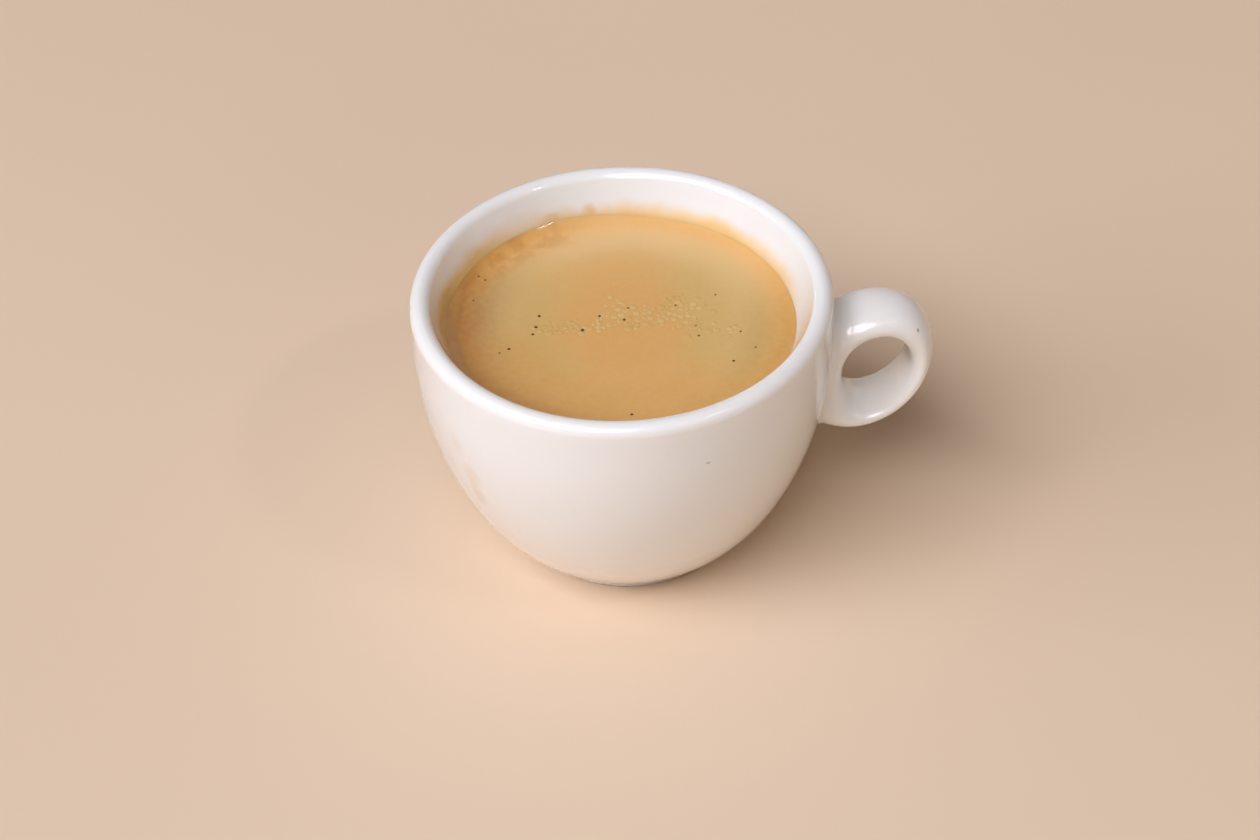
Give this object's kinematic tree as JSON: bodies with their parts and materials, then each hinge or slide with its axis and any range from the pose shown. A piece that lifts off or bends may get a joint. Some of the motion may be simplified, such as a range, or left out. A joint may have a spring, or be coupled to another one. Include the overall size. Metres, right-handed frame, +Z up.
{
  "type": "cup of americano coffee",
  "caption": "Thick-walled white porcelain coffee cup with a ring handle, filled with black coffee under a golden crema.",
  "frame": {"origin": "centre of the plane that the foot ring rests on, on the axis of the cup", "axes": "+Z up along the axis of the cup, +X from the axis towards the handle, +Y to the handle's left as seen from the axis"},
  "size_m": [0.1149, 0.092, 0.0673],
  "materials": {
    "white_glazed_porcelain": "gloss",
    "black_coffee": "gloss",
    "crema_foam": "satin"
  },
  "bodies": {
    "root": {"cup": "white_glazed_porcelain", "coffee": "black_coffee", "crema": "crema_foam"}
  },
  "joints": []
}
